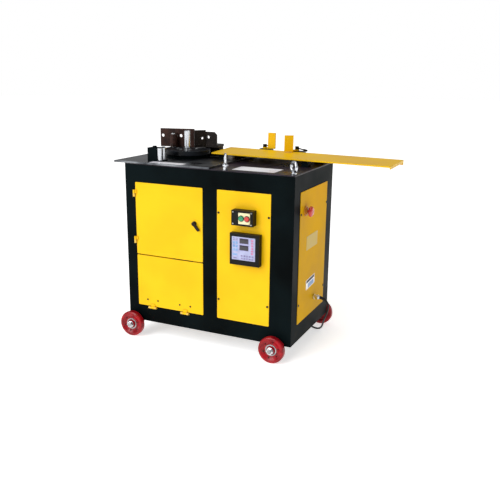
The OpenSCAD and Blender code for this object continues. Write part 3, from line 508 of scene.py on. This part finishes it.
def bead(mesh, line, radius, sides=8, ripple=0.0, seed=1):
    """A round bead swept along a line, with the ripples of a weld if asked."""
    chance = random.Random(seed)
    rings = []
    for k, point in enumerate(line):
        ahead = (Vector(line[min(k + 1, len(line) - 1)]) - Vector(line[max(k - 1, 0)])).normalized()
        side = ahead.orthogonal().normalized()
        other = ahead.cross(side)
        r = radius * (1 + ripple * (math.sin(k * 2.1) * 0.6 + chance.uniform(-0.4, 0.4)))
        if k in (0, len(line) - 1):
            r = radius * 0.35
        rings.append(
            [
                mesh.verts.new(
                    at(*(Vector(point) + side * r * math.cos(a) + other * r * math.sin(a)))
                )
                for a in (2 * math.pi * j / sides for j in range(sides))
            ]
        )
    skin(mesh, rings)


def steps_between(first, last, gap):
    """Points about gap apart on the straight line from first to last."""
    first, last = Vector(first), Vector(last)
    count = max(3, int((last - first).length / gap))
    return [first.lerp(last, k / count) for k in range(count + 1)]


print("mesh helpers ready")

# %% [markdown]
# ## Cord fittings
# A cord that leaves a metal gland needs a rubber boot, or it cracks at the edge. The boot tapers
# from the gland's mouth to the sheath over 40 mm and bends with the cord. The coil is held by
# three nylon ties, and the plug gets moulded grip ribs.
# %% Boot, ties and plug ribs
cord_piece.data.materials.append(cord_rubber)
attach(cord_piece, "cabinet")
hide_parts("power_cord", "cord_coil")

mesh = bmesh.new()
boot_line = [Vector(p) for p in CORD_ROUTE[1:5]]
boot_dense = []
for first, second in zip(boot_line, boot_line[1:]):
    boot_dense += [first.lerp(second, k / 6) for k in range(6)]
boot_dense = [p for p in boot_dense if p.x > 893]
rings = []
for k, point in enumerate(boot_dense):
    ahead = (boot_dense[min(k + 1, len(boot_dense) - 1)] - boot_dense[max(k - 1, 0)]).normalized()
    side = ahead.cross(Vector((0, 1, 0))).normalized()
    other = ahead.cross(side)
    share = k / (len(boot_dense) - 1)
    r = 7.6 - 2.2 * share + (0.35 if k % 2 and 0 < k < len(boot_dense) - 1 else 0)
    rings.append(
        [
            mesh.verts.new(at(*(point + side * r * math.cos(a) + other * r * math.sin(a))))
            for a in (math.pi * j / 10 for j in range(20))
        ]
    )
skin(mesh, rings)
boot = new_piece("gland_rubber_boot", mesh, cord_rubber)

TIE_W, TIE_FLOOR = 4.8, -4.3
mesh = bmesh.new()
for angle in (200, 290, 20):
    a = math.radians(angle)
    out = Vector((math.cos(a), math.sin(a), 0))
    inner, outer = COIL_RADII[-1] - 5.2, COIL_RADII[0] + 5.2
    low, high = -5.1, CORD + 5.3
    loop = [(inner, low + 0.8), (outer, low + 0.8), (outer, high), (inner, high)]
    sidewards = out.cross(Vector((0, 0, 1)))
    sections = []
    for r, z in loop:
        for across in (-TIE_W / 2, TIE_W / 2):
            lift = Vector((0, 0, max(z, TIE_FLOOR)))
            sections.append(COIL + out * r + lift + sidewards * across)
    for k in range(4):
        p, q = sections[2 * k], sections[2 * k + 1]
        s, t = sections[(2 * k + 2) % 8], sections[(2 * k + 3) % 8]
        mesh.faces.new([mesh.verts.new(at(*v)) for v in (p, q, t, s)])
bmesh.ops.remove_doubles(mesh, verts=mesh.verts, dist=1e-5)
ties = new_piece("coil_nylon_ties", mesh, black_abs)
thick = ties.modifiers.new("tie_thickness", "SOLIDIFY")
thick.thickness = 0.0011
rounded = ties.modifiers.new("tie_corners", "BEVEL")
rounded.width = 0.0008
rounded.segments = 2

mesh = bmesh.new()
PLUG_RIBS, PLUG_RADIUS, RIB_START, RIB_LENGTH = 12, 26.6, -36, -38
plug_start = Vector((COIL.x - TAIL, tail_y, PLUG_Z))
for k in range(PLUG_RIBS):
    a = 2 * math.pi * k / PLUG_RIBS
    offset = Vector((0, math.cos(a), math.sin(a))) * PLUG_RADIUS
    start = plug_start + Vector((RIB_START, 0, 0)) + offset
    bead(mesh, steps_between(start, start + Vector((RIB_LENGTH, 0, 0)), 4), 1.3)
plug_ribs = new_piece("plug_grip_ribs", mesh, blue_plug)

# %% [markdown]
# ## The controller's face
# The controller is a panel-mounted box with a printed polyester membrane over its keys. The CAD
# part has the right places for the keys; a sheet with rounded keys and printed fields shows more,
# so new pieces replace it. Nothing on the face is lettered.
# %% Membrane, displays and keys
FACE_X, FACE_Z = 640, 435
INK_BACK, INK_FRONT = -29.7, -30.2


def keys(name, finish, fields, back, front, radius=1.2):
    """Rounded keys on the controller's face from (x, z, width, height) in millimetres."""
    mesh = bmesh.new()
    for x, z, w, h in fields:
        low = (FACE_X + x - w / 2, front, FACE_Z + z - h / 2)
        high = (FACE_X + x + w / 2, back, FACE_Z + z + h / 2)
        soft_box(mesh, low, high, radius)
    return new_piece(name, mesh, finish)


membrane = keys("controller_membrane", lilac_membrane, [(-4.5, 4.5, 114, 106)], -29.0, -29.8, 0.3)
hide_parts("keypad")
windows = [(-2, 40, 42, 22), (-2, 9, 42, 22)]
keys("controller_displays", display_glass, windows, INK_BACK, -30.3, 0.25)
frames = [(x, z, w + 4, h + 4) for x, z, w, h in windows]
keys("display_rims", violet_ink, frames, INK_BACK, -30.0, 0.15)
left_keys = [(x, z, 10, 12) for x in (-51, -38) for z in (-2, 14, 30)]
keys("controller_blue_keys", blue_ink, left_keys + [(-46, -24, 24, 8)], INK_BACK, INK_FRONT, 0.3)
rose_column = [(38, z, 11, 8) for z in (46, 34, 22, 10, -2, -14)]
keys("controller_rose_keys", rose_ink, rose_column, INK_BACK, INK_FRONT, 0.3)
lower_rows = [(x, z, 9, 7) for x in (-12, 1, 14, 27, 40) for z in (-28, -40)]
left_row = [(x, z, 11, 4) for x in (-51, -37) for z in (50, 43)] + [(-46, -40, 18, 6)]
keys("controller_violet_keys", violet_ink, lower_rows + left_row, INK_BACK, INK_FRONT, 0.3)
print("controller pieces made")

# %% [markdown]
# ## Switch box
# The start and stop buttons sit in low collars that stop a falling bar from pressing them. The
# cream plate is held by four small screws. Two pairs of dark rivets hold the flap's hinges.
# %% Collars and screws of the switch box
BOX_Z, BOX_FRONT, PLATE_FRONT = 579, -40, -42
FORWARD = (0, -1, 0)
SMALL_HEAD = [(1.9, -0.1), (1.9, 0.5), (1.2, 0.9), (0, 1.0)]
BOX_HEAD = [(3.2, -0.1), (3.2, 0.7), (2.2, 1.2), (0, 1.3)]
RIVET = [(4.3, -0.1), (4.3, 0.6), (3.2, 1.5), (0, 1.8)]
mesh = bmesh.new()
for x in (629, 657):
    spun(
        mesh, [(11.6, -0.2), (11.6, 1.8), (13.0, 2.2), (13.8, 1.6), (13.8, -0.2)],
        (x, PLATE_FRONT, BOX_Z), FORWARD, 32,
    )
new_piece("button_collars", mesh, black_abs)
mesh = bmesh.new()
for x in (618.5, 667.5):
    for z in (557.5, 600.5):
        spun(mesh, SMALL_HEAD, (x, PLATE_FRONT, z), FORWARD, 16)
new_piece("button_plate_screws", mesh, turned_steel)
mesh = bmesh.new()
for x in (588, 676):
    for z in (553, 605):
        spun(mesh, BOX_HEAD, (x, BOX_FRONT, z), FORWARD, 18)
new_piece("switch_box_screws", mesh, turned_steel)
mesh = bmesh.new()
for middle in (138, 318):
    for x in (middle - 29, middle + 29):
        spun(mesh, RIVET, (x, -4.4, 114), FORWARD, 20)
new_piece("flap_rivet_heads", mesh, dark_oxide, "flap")
print("switch box finished")

# %% [markdown]
# ## Blank plates
# The CAD part is four blank riveted cards in one. Here each card gets its own print: white enamel
# on the work plate and on the deck, a bare cream card on the side, and below it a tilted white card
# with a dark band above a pale blue field. Nothing is lettered, and each printed field stands a
# fraction of a millimetre off its card so that it never flickers with it.
# %% Cards and their rivets


def card(name, finish, middle, along, up, w, h, thick=0.8, corner=3.0):
    """A card with rounded corners, its back on the given point, in two given directions."""
    along, up = Vector(along).normalized(), Vector(up).normalized()
    out = along.cross(up)
    mesh = bmesh.new()
    rim = []
    for a, b in ((1, 1), (-1, 1), (-1, -1), (1, -1)):
        start = math.atan2(b, a) - math.pi / 4
        for k in range(5):
            turn = start + math.pi / 8 * k
            across = a * (w / 2 - corner) + corner * math.cos(turn)
            rise = b * (h / 2 - corner) + corner * math.sin(turn)
            rim.append(along * across + up * rise)
    sheets = []
    for lift in (0, thick):
        base = Vector(middle) + out * lift
        sheets.append([mesh.verts.new(at(*(base + offset))) for offset in rim])
    mesh.faces.new(list(reversed(sheets[0])))
    mesh.faces.new(sheets[1])
    for k in range(len(rim)):
        n = (k + 1) % len(rim)
        mesh.faces.new([sheets[0][k], sheets[0][n], sheets[1][n], sheets[1][k]])
    return new_piece(name, mesh, finish)


def card_rivets(name, middle, along, up, w, h):
    """Four small domed rivets, 5 mm in from a card's corners."""
    along, up = Vector(along).normalized(), Vector(up).normalized()
    mesh = bmesh.new()
    for a, b in ((1, 1), (-1, 1), (-1, -1), (1, -1)):
        spot = Vector(middle) + along * a * (w / 2 - 5) + up * b * (h / 2 - 5)
        spun(mesh, [(1.8, 0.7), (1.7, 1.3), (0.9, 1.6), (0, 1.65)], spot, along.cross(up), 16)
    return new_piece(name, mesh, turned_steel)


tilt = math.radians(4)
TILTED = ((0, math.cos(tilt), math.sin(tilt)), (0, -math.sin(tilt), math.cos(tilt)))
CARDS = {
    "work_plate_card": (label_enamel, (220, 24, 786), (1, 0, 0), (0, 1, 0), 176, 44),
    "deck_card": (label_enamel, (646, 90, 778), (1, 0, 0), (0, 1, 0), 206, 106),
    "side_card_upper": (cream_card, (862, 236, 446), (0, 1, 0), (0, 0, 1), 150, 66),
    "side_card_lower": (label_enamel, (862, 232, 246), *TILTED, 118, 46),
}
for name, (finish, middle, along, up, w, h) in CARDS.items():
    made = card(name, finish, middle, along, up, w, h)
    card_rivets(name + "_rivets", middle, along, up, w, h)
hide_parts("blank_plates")
lower = Vector((862.8, 232, 246))
band = lower + Vector(TILTED[1]) * 14
field = lower + Vector(TILTED[0]) * 6 + Vector(TILTED[1]) * -9
card("side_card_band", black_abs, band, *TILTED, 106, 12, 0.15, 0.5)
card("side_card_field", blue_ink, field, *TILTED, 78, 22, 0.15, 0.5)

# %% [markdown]
# ## Wheels
# Each wheel turns on a ball bearing pressed into its hub. The bearing shows as a bright ring set
# just inside the hub's face, and six dark rivets round it hold the hub together.
# %% Hub bearings
WHEELS = {
    "wheel_front_left": (32, 0, 1), "wheel_front_right": (780, 0, 1),
    "wheel_rear_left": (40, 514, -1), "wheel_rear_right": (818, 514, -1),
}
for body, (x, y, inward) in WHEELS.items():
    face = (x, y - inward * 44, -14)
    axis = (0, -inward, 0)
    mesh = bmesh.new()
    spun(mesh, [(22, -7.2), (22, -5.6), (24.5, -5.2), (27, -5.8), (27, -7.9)], face, axis, 40)
    new_piece(body + "_bearing_ring", mesh, turned_steel, body)
    mesh = bmesh.new()
    for k in range(6):
        a = 2 * math.pi * k / 6 + 0.3
        spot = (face[0] + 38 * math.cos(a), face[1] + inward * 6.6, face[2] + 38 * math.sin(a))
        spun(mesh, [(3.4, -0.6), (3.4, 0.8), (2.4, 1.6), (0, 1.8)], spot, axis, 16)
    new_piece(body + "_rivets", mesh, dark_oxide, body)
print("wheels finished")

# %% [markdown]
# ## Weld beads
# The frame, the lugs and the bracket are welded. A hand-laid bead is a rounded seam with ripples
# every few millimetres, and it is what tells the eye that two plates are one part.
# %% Beads along the joints
LUG_HALF, LUG_Z = 19, 0.2
LUGS = (((32, 780), (12, 44)), ((40, 818), (470, 502)))
RAIL_FEET = (((362, 392), 786.5), ((790, 820), 778.5))
mesh = bmesh.new()
for columns, rows in LUGS:
    for x in columns:
        for y in rows:
            line = steps_between((x - LUG_HALF, y, LUG_Z), (x + LUG_HALF, y, LUG_Z), 2.5)
            bead(mesh, line, 2.2, ripple=0.18, seed=x + y)
for columns, z in RAIL_FEET:
    for x in columns:
        for y0, y1 in ((262, 300), (440, 500)):
            line = steps_between((x, y0, z), (x, y1, z), 2.5)
            bead(mesh, line, 2.0, ripple=0.18, seed=x + y0)
new_piece("frame_weld_beads", mesh, black_enamel)

mesh = bmesh.new()
for line in (
    ((200, 320, 841.2), (240, 360, 841.2)), ((240, 361.5, 841.2), (290, 361.5, 841.2)),
    ((240, 373.5, 841.2), (292, 373.5, 841.2)), ((214, 404.8, 798.3), (294, 404.8, 798.3)),
):
    bead(mesh, steps_between(*line, 2.4), 1.8, ripple=0.2, seed=int(line[0][0]))
new_piece("bracket_weld_beads", mesh, dark_oxide)
print("weld beads laid")

# %% [markdown]
# ## Floor and light
# A plain pale floor and soft daylight from the front left keep the colours honest: the front is
# bright and the right side falls into shade, deepened by the painted shade in the side panels'
# darker yellow. The camera sees the air as white, while the machine is lit by a dimmer air, and
# the floor glows a little so that shadows on it stay faint.
# %% The studio
mesh = bmesh.new()
bmesh.ops.create_circle(mesh, cap_ends=True, radius=30.0, segments=64)
floor_data = bpy.data.meshes.new("studio_floor")
mesh.to_mesh(floor_data)
mesh.free()
floor = bpy.data.objects.new("studio_floor", floor_data)
bpy.context.scene.collection.objects.link(floor)
floor_paint, shader = begin("pale_floor_paint", specular=0.1)
shader.inputs["Base Color"].default_value = linear("#FAFAFA")
shader.inputs["Roughness"].default_value = 0.9
shader.inputs["Emission Color"].default_value = linear("#FFFFFF")
shader.inputs["Emission Strength"].default_value = 0.6
floor_data.materials.append(floor_paint)

world = bpy.data.worlds.new("studio_air")
world.use_nodes = True
bpy.context.scene.world = world
air = world.node_tree.nodes["Background"]
air.inputs["Color"].default_value = (1.0, 1.0, 1.0, 1.0)
air.inputs["Strength"].default_value = 0.33
seen = world.node_tree.nodes.new("ShaderNodeBackground")
seen.inputs["Color"].default_value = (1.0, 1.0, 1.0, 1.0)
seen.inputs["Strength"].default_value = 1.0
eye = world.node_tree.nodes.new("ShaderNodeLightPath")
either = world.node_tree.nodes.new("ShaderNodeMixShader")
join = world.node_tree.links.new
join(eye.outputs["Is Camera Ray"], either.inputs[0])
join(air.outputs[0], either.inputs[1])
join(seen.outputs[0], either.inputs[2])
join(either.outputs[0], world.node_tree.nodes["World Output"].inputs["Surface"])


def lamp(name, kind, energy, place, target, **settings):
    """A lamp at a place, turned to a target, in metres."""
    data = bpy.data.lights.new(name, kind)
    data.energy = energy
    for key, value in settings.items():
        setattr(data, key, value)
    made = bpy.data.objects.new(name, data)
    made.location = place
    made.rotation_mode = "QUATERNION"
    made.rotation_quaternion = (Vector(target) - Vector(place)).to_track_quat("-Z", "Y")
    bpy.context.scene.collection.objects.link(made)
    return made


lamp("window_light", "SUN", 1.62, (-2.0, -4.0, 4.2), (0, 0, 0.4), angle=math.radians(50))
lamp(
    "front_softbox", "AREA", 24, (-1.6, -3.4, 1.6), (-0.2, -0.2, 0.5),
    shape="RECTANGLE", size=1.6, size_y=1.2,
)
lamp(
    "top_softbox", "AREA", 14, (0.4, 0.4, 3.2), (0, 0, 0.8),
    shape="RECTANGLE", size=2.0, size_y=1.4,
)
bpy.context.scene.view_settings.view_transform = "Standard"
